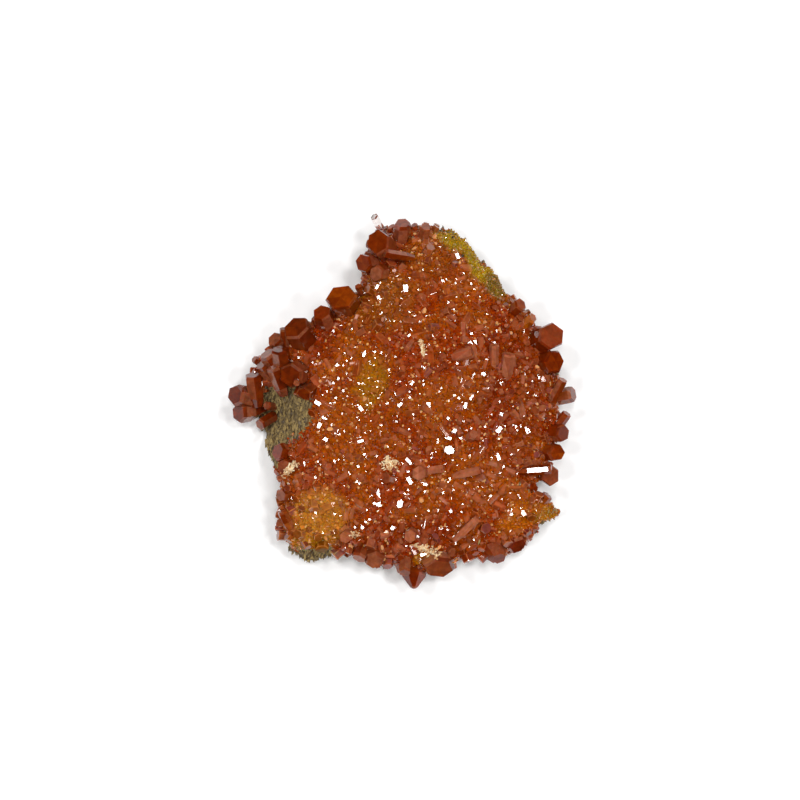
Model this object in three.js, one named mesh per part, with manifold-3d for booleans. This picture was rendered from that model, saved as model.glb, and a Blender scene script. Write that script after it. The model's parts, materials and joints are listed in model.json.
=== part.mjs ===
// Vanadinite on matrix: a broken slab of sandy rock, flat underneath, whose upper face carries
// hexagonal vanadinite crystals. The long ones stand out round the rim and short ones on the plateau.
// Millimetres, +Z up. The slab rests on its flat back, and the origin is under the specimen's middle.

import * as THREE from "three";
import { mergeVertices } from "three/addons/utils/BufferGeometryUtils.js";
import Module from "manifold-3d";

const wasm = await Module();
wasm.setup();

// The slab.
const ROCK_HEIGHT = 14.2; // the plateau above the cut back
const DOME_FALL = 0.0036; // how fast the plateau falls away from its middle, per mm
const SHOULDER_DROP = 3.0; // the rounded edge of the plateau
const BASE_SCALE = 0.87; // the cut back against the plateau's outline
const FLANK_BULGE = 0.05; // how far the flank swells past the outline, as a share of it
const CRAG_DEPTH = 0.75; // the chips on the flank
const AROUND = 76; // steps round the slab
const TOP_ROWS = 15; // rings on the plateau
const FLANK_ROWS = 7; // rings down the flank
const BASE_ROWS = 2; // rings under the back

// The bare hollow in the left flank, where the rock shows between the crystals.
const HOLLOW = { x: -14.5, y: -2.6, run: 9.5, width: 5.2, depth: 8.5 };

// Crystals.
const SIDES = 6;
const SEAT_GAP = 0.3; // between a crystal and the rock that it grows from
const OVERLAP = 1e-3; // mm³ shared by two crystals that have grown together

// The slab's outline, clockwise from the top as seen from above.
const OUTLINE = [
  [-3.2, 29.9], [1.5, 31.0], [6.5, 30.3], [10.3, 29.8], [12.4, 28.3], [13.0, 25.8], [15.0, 23.2],
  [17.4, 21.0], [19.0, 18.4], [21.0, 16.6], [23.2, 13.8], [25.2, 10.4], [26.9, 6.0], [27.5, 1.5],
  [27.3, -3.5], [26.5, -8.5], [24.4, -12.2], [22.7, -15.4], [24.7, -18.2], [28.2, -19.4],
  [23.8, -22.0], [21.8, -25.2], [17.4, -26.2], [12.0, -27.2], [7.0, -28.2],
  [2.0, -29.0], [-3.5, -27.8], [-8.5, -26.2], [-14.0, -26.8], [-18.8, -25.8], [-19.8, -21.0],
  [-20.6, -15.5], [-21.4, -11.0], [-22.6, -6.0], [-25.0, -1.5], [-26.2, 2.0], [-24.6, 6.0],
  [-21.8, 9.6], [-18.0, 12.4], [-13.6, 13.8], [-10.2, 16.2], [-6.6, 19.6], [-6.0, 24.4],
];
const outline = new THREE.CatmullRomCurve3(
  OUTLINE.map(([x, y]) => new THREE.Vector3(x, y, 0)),
  true,
  "centripetal",
);

const TONES = {
  rock: { color: 0x7d6946, roughness: 0.95 },
  red: { color: 0xa83212, roughness: 0.22 },
  orange: { color: 0xc4581a, roughness: 0.25 },
  brown: { color: 0x8c4a34, roughness: 0.3 },
  yellow: { color: 0xc08a28, roughness: 0.3 },
  clear: { color: 0xe6d2c8, roughness: 0.1 },
};

// A crystal's profile from its root up its axis: [share of its radius, share of its length].
const FORMS = {
  prism: [[0.6, 0], [1, 0.3], [1, 0.92], [0.9, 1]],
  barrel: [[0.55, 0], [1, 0.55], [0.97, 0.9], [0.8, 1]],
  point: [[0.6, 0], [1, 0.3], [1, 0.74], [0.3, 0.98], [0.12, 1]],
  wedge: [[0.6, 0], [1, 0.6], [0.6, 1]],
};

// name, tip [x, y, z], heading in plan and lean from upright in degrees, width, length, form, tone
const RIM_CRYSTALS = [
  ["left_rim_plate_upper", [-29.4, 0.9, 8.8], 170, 44, 4.3, 6.5, "barrel", "red"],
  ["left_rim_plate_lower", [-28.8, -2.2, 7.2], 197, 46, 3.9, 6.5, "barrel", "red"],
  ["left_tall_prism", [-26.2, 4.4, 9.4], 98, 64, 3.1, 6, "prism", "red"],
  ["left_foot_crystal", [-25.0, -4.2, 5.6], 215, 54, 2.2, 5, "prism", "red"],
  ["left_orange_stub", [-23.8, -0.9, 7.6], 180, 30, 1.7, 4, "barrel", "orange"],
  ["left_pale_stub", [-26.0, 7.3, 8.6], 150, 58, 1.5, 6, "prism", "orange"],
  ["left_fan_prism_outer", [-24.6, 6.2, 10.8], 134, 62, 3.2, 7, "barrel", "brown"],
  ["left_fan_prism_middle", [-23.7, 7.9, 12.2], 126, 60, 3.2, 7, "prism", "brown"],
  ["left_fan_prism_inner", [-22.5, 5.6, 12.9], 112, 58, 2.8, 6, "prism", "brown"],
  ["left_red_hexagon", [-22.4, 10.6, 11.6], 140, 42, 3.0, 6, "prism", "red"],
  ["left_slim_prism", [-20.8, 12.3, 12.8], 95, 58, 1.4, 5, "prism", "orange"],
  ["left_bright_prism", [-21.4, 8.6, 13.6], 98, 60, 3.2, 6, "prism", "brown"],
  ["left_round_hexagon", [-19.6, 3.7, 14.6], 218, 30, 4.9, 6, "barrel", "brown"],
  ["left_top_stub", [-18.5, 2.4, 15.7], 250, 22, 1.3, 4, "prism", "orange"],
  ["left_pink_stub", [-17.2, 0.6, 14.6], 225, 36, 2.5, 5, "prism", "brown"],
  ["upper_left_block", [-18.7, 12.4, 14.2], 128, 38, 4.9, 7, "prism", "red"],
  ["upper_left_hexagon", [-14.2, 15.1, 13.6], 120, 36, 3.5, 6, "prism", "red"],
  ["great_hexagon", [-10.8, 17.8, 14.2], 125, 24, 5.4, 6.5, "prism", "orange"],
  ["upper_left_twin", [-7.7, 19.9, 12.6], 130, 36, 1.3, 4, "prism", "red"],
  ["upper_left_twin_small", [-6.7, 20.7, 12.2], 110, 42, 1.1, 4, "prism", "red"],
  ["lobe_side_hexagon", [-6.9, 24.1, 12.2], 175, 42, 3.6, 6, "prism", "red"],
  ["lobe_tabular_crystal", [-4.3, 27.8, 12.8], 150, 32, 4.9, 5.5, "prism", "orange"],
  ["lobe_lying_prism", [-3.1, 25.5, 13.9], 174, 74, 2.0, 5.5, "prism", "brown"],
  ["lobe_round_crystal", [-4.6, 22.0, 13.5], 200, 34, 3.3, 5, "barrel", "red"],
  ["top_needle", [-4.8, 32.4, 11.8], 122, 46, 1.7, 5, "prism", "clear"],
  ["top_red_point", [0.2, 31.4, 11.4], 88, 46, 3.4, 6, "barrel", "red"],
  ["top_right_stub", [4.4, 30.9, 10.6], 80, 42, 2.2, 5, "prism", "orange"],
  ["right_upper_stub", [21.2, 17.0, 11.8], 42, 40, 2.5, 5, "prism", "red"],
  ["right_yellow_stub", [23.4, 14.7, 11.2], 38, 44, 2.1, 5, "barrel", "yellow"],
  ["right_great_hexagon", [26.7, 11.4, 11.8], 18, 26, 5.4, 6.5, "prism", "red"],
  ["right_middle_hexagon", [27.4, 6.9, 11.0], 6, 30, 4.6, 6, "barrel", "red"],
  ["right_slanting_prism", [28.7, 3.6, 11.2], 62, 60, 1.9, 6.5, "prism", "orange"],
  ["right_outer_prism", [30.8, 1.3, 8.8], 10, 60, 3.0, 7.5, "prism", "brown"],
  ["right_slim_prism", [29.6, -2.2, 9.2], 56, 62, 1.8, 5.5, "prism", "red"],
  ["right_square_prism", [28.9, -5.8, 9.8], 350, 42, 3.3, 6, "prism", "brown"],
  ["right_brown_crystal", [27.8, -9.4, 10.4], 340, 34, 3.6, 6, "barrel", "red"],
  ["right_lying_prism", [26.4, -12.3, 12.3], 4, 74, 1.7, 6, "prism", "orange"],
  ["right_lower_hexagon", [26.6, -13.3, 9.8], 320, 28, 4.0, 6, "prism", "red"],
  ["right_dark_crystal", [23.4, -15.6, 9.8], 345, 36, 2.8, 5, "barrel", "red"],
  ["right_corner_prism", [26.0, -16.8, 10.2], 48, 66, 2.0, 6, "prism", "orange"],
  ["right_corner_stub", [26.0, -18.4, 9.0], 22, 48, 1.7, 4, "prism", "red"],
  ["bottom_right_round", [20.8, -25.8, 9.4], 308, 42, 3.6, 6, "barrel", "brown"],
  ["bottom_right_wedge", [17.3, -28.0, 10.0], 288, 46, 4.1, 6.5, "wedge", "red"],
  ["bottom_great_prism", [6.8, -29.8, 10.2], 280, 42, 5.5, 7, "barrel", "brown"],
  ["bottom_red_point", [2.4, -33.2, 7.8], 268, 64, 4.2, 9, "point", "red"],
  ["bottom_slim_prism", [0.6, -30.5, 10.6], 262, 50, 2.1, 6, "prism", "brown"],
  ["bottom_round_hexagon", [-4.7, -28.5, 10.4], 262, 40, 3.8, 6, "barrel", "brown"],
  ["bottom_tall_prism", [-7.4, -28.0, 9.8], 252, 62, 2.6, 7, "prism", "red"],
  ["lower_left_red_crystal", [-21.8, -9.2, 10.8], 168, 48, 3.5, 6, "barrel", "red"],
  ["lower_left_pink_crystal", [-20.6, -12.0, 11.8], 192, 44, 3.3, 6, "prism", "brown"],
  ["lower_left_clear_crystal", [-21.2, -16.9, 10.6], 185, 46, 2.9, 5.5, "barrel", "orange"],
  ["lower_left_long_prism", [-21.0, -19.6, 10.2], 118, 70, 1.9, 5, "barrel", "orange"],
];

// The same on the plateau, where the tip's third number is its height above the rock.
const PLATEAU_CRYSTALS = [
  ["plateau_upper_prism", [12.3, 8.1, 1.5], 14, 68, 2.1, 5, "prism", "brown"],
  ["plateau_upright_prism", [16.1, 9.4, 1.5], 92, 66, 1.6, 5, "prism", "brown"],
  ["plateau_right_prism", [18.8, 7.9, 1.6], 84, 62, 2.2, 5, "prism", "brown"],
  ["plateau_diagonal_prism", [13.3, -20.9, 1.3], 44, 70, 1.5, 6, "prism", "orange"],
  ["plateau_lower_hexagon", [1.4, -24.2, 1.5], 240, 22, 2.4, 4, "prism", "orange"],
  ["plateau_left_hexagon", [-9.9, -24.4, 1.6], 245, 26, 2.3, 4, "prism", "orange"],
  ["plateau_middle_hexagon", [2.8, -13.2, 1.5], 200, 22, 2.8, 4, "prism", "brown"],
  ["plateau_middle_prism", [7.3, -12.3, 1.3], 8, 72, 1.5, 5, "prism", "brown"],
  ["plateau_low_prism", [13.6, -12.6, 1.3], 12, 68, 1.6, 5, "prism", "orange"],
  ["plateau_round_crystal", [12.5, -6.3, 1.4], 32, 30, 2.1, 4, "barrel", "red"],
];

// A deterministic number from 0 to 1 for each index, for small differences between crystals.
function scatter(index, salt) {
  return THREE.MathUtils.euclideanModulo(Math.sin(index * 12.9898 + salt * 78.233) * 43758.5453, 1);
}

// How deep the bare hollow cuts at a point of the plateau.
function hollowDepth(x, y) {
  const along = THREE.MathUtils.smoothstep(HOLLOW.x - x, 0, HOLLOW.run);
  const across = (y - HOLLOW.y) / HOLLOW.width;
  return HOLLOW.depth * along * Math.exp(-across * across);
}

// The height of the plateau above the cut back.
function plateauHeight(x, y) {
  const dome = ROCK_HEIGHT - DOME_FALL * (x * x + y * y);
  const swell = 0.8 * Math.sin(0.17 * x + 0.6) * Math.cos(0.15 * y - 0.4);
  const ripple = 0.35 * Math.sin(0.51 * x - 0.33 * y + 2.0);
  return dome + swell + ripple - hollowDepth(x, y);
}

// Chips on the broken flank, in mm out of it.
function crag(x, y, z) {
  const broad = Math.sin(0.62 * x + 0.48 * z + 1.3) * Math.cos(0.55 * y - 0.7 * z);
  const fine = Math.sin(1.5 * x - 1.2 * y + 0.9 * z);
  return CRAG_DEPTH * (broad + 0.5 * fine);
}

// A point of the slab's skin: u goes round the outline against its order, so that the faces point
// out, and row counts rings from the top's middle.
function rockPoint(u, row) {
  const rim = outline.getPointAt((1 - u) % 1);
  const plateauShare = Math.min(row / TOP_ROWS, 1);
  const x = rim.x * plateauShare;
  const y = rim.y * plateauShare;
  const edge = SHOULDER_DROP * plateauShare ** 7;
  const top = plateauHeight(x, y) - edge;
  if (row <= TOP_ROWS) {
    return new THREE.Vector3(x, y, top);
  }
  const baseRow = TOP_ROWS + FLANK_ROWS;
  if (row >= baseRow) {
    const share = BASE_SCALE * (1 - (row - baseRow) / BASE_ROWS);
    return new THREE.Vector3(rim.x * share, rim.y * share, 0);
  }
  const down = (row - TOP_ROWS) / FLANK_ROWS;
  const z = top * (1 - down);
  const bulge = FLANK_BULGE * Math.sin(Math.PI * down);
  const share = 1 + bulge - (1 - BASE_SCALE) * down ** 1.6 + crag(rim.x, rim.y, z) / rim.length();
  return new THREE.Vector3(rim.x * share, rim.y * share, z);
}

// The slab, with its skin moved out by grow.
function rockGeometry(grow) {
  const rows = TOP_ROWS + FLANK_ROWS + BASE_ROWS;
  const ball = new THREE.SphereGeometry(1, AROUND, rows);
  const uv = ball.attributes.uv;
  for (let i = 0; i < uv.count; i += 1) {
    const row = Math.round((1 - uv.getY(i)) * rows);
    const point = rockPoint(Math.min(Math.max(uv.getX(i), 0), 1), row);
    ball.attributes.position.setXYZ(i, point.x, point.y, point.z);
  }
  const skin = closed(ball);
  skin.computeVertexNormals();
  const { position, normal } = skin.attributes;
  for (let i = 0; i < position.count; i += 1) {
    position.setX(i, position.getX(i) + grow * normal.getX(i));
    position.setY(i, position.getY(i) + grow * normal.getY(i));
    position.setZ(i, position.getZ(i) + grow * normal.getZ(i));
  }
  skin.deleteAttribute("normal");
  return skin;
}

// The geometry with only its positions, and each shared vertex once.
function closed(geometry) {
  const bare = geometry.clone();
  bare.deleteAttribute("normal");
  bare.deleteAttribute("uv");
  return mergeVertices(bare, 1e-4);
}

function toSolid(geometry) {
  const mesh = new wasm.Mesh({
    numProp: 3,
    vertProperties: new Float32Array(geometry.attributes.position.array),
    triVerts: new Uint32Array(geometry.index.array),
  });
  return new wasm.Manifold(mesh);
}

function toGeometry(solid) {
  const mesh = solid.getMesh();
  const geometry = new THREE.BufferGeometry();
  geometry.setAttribute("position", new THREE.BufferAttribute(mesh.vertProperties, 3));
  geometry.setIndex(new THREE.BufferAttribute(mesh.triVerts, 1));
  return geometry;
}

// One crystal before the rock cuts its root: a six-sided lathe along its own axis.
function crystalGeometry([, tip, heading, lean, width, length, form], index) {
  const radius = width / 2;
  const corners = FORMS[form].map(([r, h]) => new THREE.Vector2(r * radius, h * length));
  const profile = [new THREE.Vector2(0, 0), ...corners, new THREE.Vector2(0, length)];
  const lathe = closed(new THREE.LatheGeometry(profile, SIDES));
  const stretch = 0.88 + 0.24 * scatter(index, 1);
  lathe.scale(stretch, 1, 1 / stretch);
  lathe.rotateY(scatter(index, 2) * Math.PI);
  lathe.translate(0, -length, 0);
  const out = THREE.MathUtils.degToRad(heading);
  const tilt = THREE.MathUtils.degToRad(lean);
  const axis = new THREE.Vector3(
    Math.sin(tilt) * Math.cos(out),
    Math.sin(tilt) * Math.sin(out),
    Math.cos(tilt),
  );
  lathe.applyQuaternion(new THREE.Quaternion().setFromUnitVectors(new THREE.Vector3(0, 1, 0), axis));
  lathe.translate(...tip);
  return lathe;
}

// The part of a crystal that stands clear of the rock.
function seated(crystal, seat) {
  const pieces = crystal.subtract(seat).decompose();
  return pieces.reduce((best, piece) => (piece.volume() > best.volume() ? piece : best));
}

// Crystals that run into each other have grown together, so each such group is one solid.
function grownTogether(crystals) {
  const groups = [];
  for (const crystal of crystals) {
    const touching = groups.filter((g) => g.solid.intersect(crystal.solid).volume() > OVERLAP);
    const joined = { ...crystal, size: 1 };
    for (const group of touching) {
      joined.solid = joined.solid.add(group.solid);
      joined.size += group.size;
      joined.name = group.name;
      joined.tone = group.tone;
      groups.splice(groups.indexOf(group), 1);
    }
    groups.push(joined);
  }
  return groups;
}

function makeMesh(name, geometry, tone) {
  const mesh = new THREE.Mesh(geometry, new THREE.MeshStandardMaterial({ ...TONES[tone], metalness: 0 }));
  mesh.name = name;
  return mesh;
}

const specimen = new THREE.Group();
specimen.add(makeMesh("matrix_rock", rockGeometry(0), "rock"));

const onPlateau = PLATEAU_CRYSTALS.map(([name, [x, y, rise], ...rest]) => [
  name,
  [x, y, plateauHeight(x, y) + rise],
  ...rest,
]);
const seat = toSolid(rockGeometry(SEAT_GAP));
const crystals = [...RIM_CRYSTALS, ...onPlateau].map((spec, index) => ({
  name: spec[0],
  tone: spec[7],
  solid: seated(toSolid(crystalGeometry(spec, index)), seat),
}));
for (const group of grownTogether(crystals)) {
  const name = group.size > 1 ? `${group.name}_group` : group.name;
  specimen.add(makeMesh(name, toGeometry(group.solid), group.tone));
}

// The origin goes under the middle of the whole specimen.
const middle = new THREE.Box3().setFromObject(specimen).getCenter(new THREE.Vector3());
specimen.position.set(-middle.x, -middle.y, 0);

export default specimen;
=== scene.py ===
"""Vanadinite on matrix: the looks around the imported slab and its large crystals.

Distances are in millimetres in the tables and in metres in the meshes (MM turns one into the other).
"""

import json
import math

import bmesh
import bpy
import numpy as np
from mathutils import Matrix, Vector, noise
from mathutils.bvhtree import BVHTree


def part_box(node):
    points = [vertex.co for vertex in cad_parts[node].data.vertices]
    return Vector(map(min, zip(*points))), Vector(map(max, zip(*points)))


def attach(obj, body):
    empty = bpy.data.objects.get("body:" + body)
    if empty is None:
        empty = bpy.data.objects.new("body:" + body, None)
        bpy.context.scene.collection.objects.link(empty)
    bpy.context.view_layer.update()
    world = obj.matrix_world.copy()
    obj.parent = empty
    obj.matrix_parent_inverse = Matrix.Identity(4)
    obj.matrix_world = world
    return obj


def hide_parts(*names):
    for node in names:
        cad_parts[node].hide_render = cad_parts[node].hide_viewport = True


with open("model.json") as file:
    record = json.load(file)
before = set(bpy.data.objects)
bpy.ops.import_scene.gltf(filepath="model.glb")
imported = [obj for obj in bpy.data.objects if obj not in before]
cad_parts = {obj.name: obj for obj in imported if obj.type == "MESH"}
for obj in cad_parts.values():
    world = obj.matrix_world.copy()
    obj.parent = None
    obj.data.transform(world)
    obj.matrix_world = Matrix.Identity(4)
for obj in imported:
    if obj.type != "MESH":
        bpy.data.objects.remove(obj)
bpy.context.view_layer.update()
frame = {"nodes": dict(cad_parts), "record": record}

MM = 0.001
ROCK = "matrix_rock"
RECORD_SLOTS = {entry["node"]: entry["material_slot"] for entry in frame["record"]["subparts"]}

# The tables give places seen from above in mm, in a frame where the rock's lowest x and y are these.
ROCK_CORNER = (-26.719, -29.92)
SHIFT = [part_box(ROCK)[0][i] / MM - ROCK_CORNER[i] for i in (0, 1)]


def placed(x, y):
    """A place of the tables in the shared frame, in mm."""
    return (x + SHIFT[0], y + SHIFT[1])


# ------------------------------------ colours and zones

ALBEDO = 0.8  # the tables' colours are as seen under the lamps, which are brighter than white


def linear(red, green, blue):
    """A linear colour from 0-255 display values."""
    values = [c / 255 for c in (red, green, blue)]
    return [ALBEDO * (c / 12.92 if c <= 0.04045 else ((c + 0.055) / 1.055) ** 2.4) for c in values] + [1.0]


# The druse and its zones.
RED_ORANGE = linear(178, 62, 0)
DEEP_RED = linear(142, 34, 0)
ORANGE = linear(194, 92, 6)
AMBER = linear(212, 112, 6)
TAN_ORANGE = linear(228, 146, 44)
MUSTARD = linear(202, 130, 10)
OLIVE = linear(198, 158, 26)
DARK_OLIVE = linear(152, 118, 40)
OLIVE_ORANGE = linear(172, 90, 10)
PALE_EDGE = linear(184, 172, 124)
# Painted shade for the gaps between the crystals, mixed into the rock under the druse.
GAP_SHADE = linear(70, 34, 12)

# The rock and the pale minerals on it.
SANDY = linear(126, 94, 44)
SANDY_DARK = linear(58, 40, 20)
SANDY_LIGHT = linear(182, 154, 94)
# Painted shade for the pits.
PIT_SHADE = linear(26, 24, 18)
CREAM = (0.95, 0.84, 0.55, 1.0)
CREAM_DARK = linear(212, 136, 58)

# Tints of the crystals that stand out from the druse.
# A milky tint, partly a painted sheen of reflected light.
HAZE_AND_SHEEN = linear(186, 114, 80)
DEEP_FACE = linear(112, 28, 2)
VIOLET = linear(120, 52, 84)
# Painted glints: a share of the crystals is peach, for small, dim glints.
PAINTED_GLINT_PEACH = linear(250, 178, 118)
# Lighter edges: wear, and a painted highlight where edges catch the light.
WEAR_AND_HIGHLIGHT_TINT = linear(200, 126, 82)
HAZY_PINK = linear(206, 122, 84)
BLOCK_TINT = linear(156, 72, 34)
RIM_TINT = linear(134, 54, 20)
PLATEAU_TINT = linear(206, 124, 88)
# Darker red for the left edge's crystals: their own deep tone and painted shade on that side.
LEFT_TINT_AND_SHADE = linear(110, 42, 10)
CLEAR_TINT = (0.98, 0.94, 0.92, 1.0)
CLEAR_EDGE_TINT = linear(150, 84, 66)

# Zones of the druse: middle, half sizes, turn in degrees, strength, colour.
ZONES = [
    ((19.5, 3.0), (8.5, 13.0), 0, 0.5, DEEP_RED),
    ((2.0, -25.0), (13.0, 4.5), 0, 0.55, DEEP_RED),
    ((-17.0, 10.5), (8.0, 4.5), 35, 0.5, DEEP_RED),
    ((-2.5, 27.5), (5.0, 4.5), 0, 0.6, DEEP_RED),
    ((-10.5, -6.0), (6.5, 8.5), 0, 0.6, ORANGE),
    ((13.5, -15.0), (6.0, 5.0), 20, 0.5, ORANGE),
    ((8.0, 1.0), (7.0, 3.5), 20, 0.5, ORANGE),
    ((5.5, 25.5), (6.0, 4.0), 0, 0.6, OLIVE_ORANGE),
    ((12.5, 21.0), (3.0, 4.5), 40, 0.6, ORANGE),
    ((-3.5, 17.5), (6.5, 6.0), 20, 0.8, OLIVE_ORANGE),
    ((-5.2, 2.6), (2.8, 5.2), -14, 0.8, MUSTARD),
    ((-9.0, 7.0), (4.0, 4.0), 0, 0.5, AMBER),
    ((-14.5, -21.0), (5.5, 5.5), 0, 0.95, TAN_ORANGE),
    ((-16.5, -25.5), (4.5, 1.8), 0, 0.8, MUSTARD),
    ((22.0, -20.5), (5.5, 3.2), 20, 0.9, AMBER),
    ((25.8, -20.2), (2.8, 1.9), 20, 1.0, MUSTARD),
    ((5.6, 30.6), (3.2, 1.2), -8, 0.8, OLIVE_ORANGE),
    ((10.4, 29.0), (3.8, 2.5), -20, 1.0, OLIVE),
    ((12.7, 26.0), (2.1, 3.2), 10, 1.0, OLIVE),
    ((14.9, 23.2), (3.4, 1.9), -46, 1.0, OLIVE),
    ((17.2, 20.5), (3.0, 2.3), -50, 1.0, DARK_OLIVE),
    ((19.2, 17.4), (1.8, 1.5), -60, 0.7, OLIVE_ORANGE),
    ((-14.6, -26.9), (4.4, 0.9), -6, 1.0, PALE_EDGE),
    ((3.5, -28.0), (2.6, 1.2), 0, 0.8, MUSTARD),
]

# Zones where the druse is very fine: middle and half sizes.
FINE_ZONES = [
    ((-3.5, 17.5), (6.5, 6.0)),
    ((-6.0, 0.0), (7.0, 8.0)),
    ((-15.0, -20.5), (6.0, 6.0)),
    ((22.0, -20.0), (5.5, 3.5)),
]

# Zones with a velvety crust and hardly any larger crystals.
CRUST_ZONES = [
    ((10.2, 29.4), (4.6, 2.8)),
    ((12.9, 26.4), (2.3, 3.8)),
    ((15.2, 23.4), (3.0, 2.7)),
    ((17.6, 20.8), (2.8, 2.8)),
    ((26.4, -20.2), (3.4, 2.4)),
    ((-15.2, -26.6), (4.8, 1.7)),
]

# The bare hollow in the left flank, the strip that leads down from it, and a bare edge.
BARE_ZONES = [
    ((-21.0, -2.2), (5.6, 5.6)),
    ((-22.0, -8.0), (2.2, 4.0)),
    ((-14.6, -27.2), (3.8, 0.8)),
]

# Pits in the crust, painted dark as shade: middle and half width.
PITS = [((11.0, 25.9), 0.46), ((12.3, 26.2), 0.34), ((9.4, 29.4), 0.34), ((-17.9, 0.1), 0.4)]

# Clusters of cream blades: middle, half length, half width, turn in degrees, count.
PALE_PATCHES = {
    "streak": ((3.5, 8.5), 1.5, 0.26, 97, 70),
    "star": ((-2.1, -11.6), 1.4, 1.1, 0, 130),
    "diagonal": ((-19.7, -12.5), 2.1, 0.5, 45, 100),
    "bottom": ((4.4, -26.4), 2.1, 0.7, -20, 120),
    "small": ((-8.1, -23.8), 0.9, 0.45, 20, 36),
}

BLOB_END = 1.25  # where a blob ends, as a share of its half size
BLOB_FULL = 0.75  # and where it reaches its full strength


def ramp(values, start, end):
    """From 0 at start to 1 at end, and no further either way."""
    return np.clip((values - start) / (end - start), 0, 1)


def blob(points, middle, half):
    """1 in the middle of an ellipse seen from above, falling to 0 past its edge. points is (n, 3) in mm."""
    x, y = placed(*middle)
    reach = np.hypot((points[:, 0] - x) / half[0], (points[:, 1] - y) / half[1])
    return ramp(reach, BLOB_END, BLOB_FULL)


def most_of(points, zones):
    """The strongest blob of the zones at each point."""
    return np.max([blob(points, middle, half) for middle, half in zones], axis=0)


# ------------------------------------ node trees

def add_node(tree, kind, inputs=None, **settings):
    """A node with its settings and inputs. An input is a socket to link or a value."""
    made = tree.nodes.new(kind)
    for key, value in settings.items():
        setattr(made, key, value)
    for key, value in (inputs or {}).items():
        if isinstance(value, bpy.types.NodeSocket):
            tree.links.new(value, made.inputs[key])
        else:
            made.inputs[key].default_value = value
    return made


def do_math(tree, operation, a, b=0.0):
    return add_node(tree, "ShaderNodeMath", {0: a, 1: b}, operation=operation).outputs[0]


def vector_math(tree, operation, *vectors, scale=None, output="Vector"):
    inputs = dict(enumerate(vectors))
    if scale is not None:
        inputs["Scale"] = scale
    return add_node(tree, "ShaderNodeVectorMath", inputs, operation=operation).outputs[output]


def remap(tree, value, low, high, to_low=0.0, to_high=1.0, smooth=False):
    """A number that goes from to_low to to_high as value goes from low to high, and no further."""
    kind = "SMOOTHSTEP" if smooth else "LINEAR"
    inputs = {"Value": value, "From Min": low, "From Max": high, "To Min": to_low, "To Max": to_high}
    return add_node(tree, "ShaderNodeMapRange", inputs, interpolation_type=kind).outputs["Result"]


def mix(tree, factor, a, b, blend="MIX"):
    """Colour a turned towards b by factor. Sockets 0, 6 and 7 are the factor and the two colours."""
    inputs = {0: factor, 6: a, 7: b}
    return add_node(tree, "ShaderNodeMix", inputs, data_type="RGBA", blend_type=blend).outputs[2]


def noise_of(tree, where, scale, detail=2.0, roughness=0.5, output="Fac"):
    """A noise whose features are about 1 / scale mm wide."""
    inputs = {"Vector": where, "Scale": scale, "Detail": detail, "Roughness": roughness}
    return add_node(tree, "ShaderNodeTexNoise", inputs).outputs[output]


def add_bump(tree, shader, height, strength, depth_mm):
    """A fine relief in a material."""
    inputs = {"Strength": strength, "Distance": depth_mm * MM, "Height": height}
    tree.links.new(add_node(tree, "ShaderNodeBump", inputs).outputs[0], shader.inputs["Normal"])


def position_mm(tree):
    """The point in mm in the object's own frame, which is the CAD's."""
    place = add_node(tree, "ShaderNodeTexCoord").outputs["Object"]
    return vector_math(tree, "SCALE", place, scale=1 / MM)


def crystal_random(tree):
    """A random number from 0 to 1 for each crystal of a mesh."""
    return add_node(tree, "ShaderNodeNewGeometry").outputs["Random Per Island"]


def another_random(tree, value, factor):
    """Another number from 0 to 1 out of a random one. Each factor gives other numbers."""
    return do_math(tree, "FRACT", do_math(tree, "MULTIPLY", value, factor))


FACE_STEP = 0.03  # normals that are closer than this count as one face


def face_random(tree):
    """A random number for each flat face of a crystal."""
    normal = add_node(tree, "ShaderNodeNewGeometry").outputs["True Normal"]
    snapped = vector_math(tree, "SNAP", normal, (FACE_STEP, FACE_STEP, FACE_STEP))
    return add_node(tree, "ShaderNodeTexWhiteNoise", {"Vector": snapped}).outputs["Value"]


ZONE_WANDER_MM = 4.2  # how far the noise pushes the zones' edges about
ANY_HEIGHT_MM = 1e6  # a zone's half size along Z, so that it counts at every height


def zone_group():
    """A node group that gives the druse its colour by place."""
    group = bpy.data.node_groups.new("druse_colour", "ShaderNodeTree")
    group.interface.new_socket("Color", in_out="OUTPUT", socket_type="NodeSocketColor")
    where = position_mm(group)
    wander = noise_of(group, where, scale=0.3, detail=3.0, output="Color")
    centred = vector_math(group, "SUBTRACT", wander, (0.5, 0.5, 0.5))
    push = vector_math(group, "SCALE", centred, scale=ZONE_WANDER_MM)
    moved = vector_math(group, "ADD", where, push)
    drift = noise_of(group, where, scale=0.16, detail=3.0)
    colour = mix(group, remap(group, drift, 0.4, 0.62, smooth=True), RED_ORANGE, ORANGE)
    patchy = noise_of(group, where, scale=0.9, detail=3.0)
    colour = mix(group, remap(group, patchy, 0.35, 0.75, 0.0, 0.35), colour, DEEP_RED)
    for middle, half, turn, strength, tint in ZONES:
        inputs = {
            "Vector": moved,
            "Location": (*placed(*middle), 0.0),
            "Rotation": (0.0, 0.0, math.radians(turn)),
            "Scale": (*half, ANY_HEIGHT_MM),
        }
        local = add_node(group, "ShaderNodeMapping", inputs, vector_type="TEXTURE").outputs[0]
        reach = vector_math(group, "LENGTH", local, output="Value")
        share = remap(group, reach, 1.2, 0.6, 0.0, strength, smooth=True)
        colour = mix(group, share, colour, tint)
    out = add_node(group, "NodeGroupOutput")
    group.links.new(colour, out.inputs[0])
    return group


ZONE_GROUP = zone_group()


def zone_colour(tree):
    return add_node(tree, "ShaderNodeGroup", node_tree=ZONE_GROUP).outputs[0]


# ------------------------------------ materials

# Factors that turn a crystal's random number into others, for its hue, for its gloss and for the peach dots
# that are painted glints.
HUE_FACTOR = 37.7
GLOSS_FACTOR = 91.3
GLINT_DOT_FACTOR = 53.9
SCATTER_RADIUS = (1.0, 0.28, 0.05)  # red light goes deepest into vanadinite


def new_material(name):
    """A material with its node tree and its Principled shader."""
    material = bpy.data.materials.new(name)
    material.use_nodes = True
    tree = material.node_tree
    return material, tree, tree.nodes["Principled BSDF"]


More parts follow.
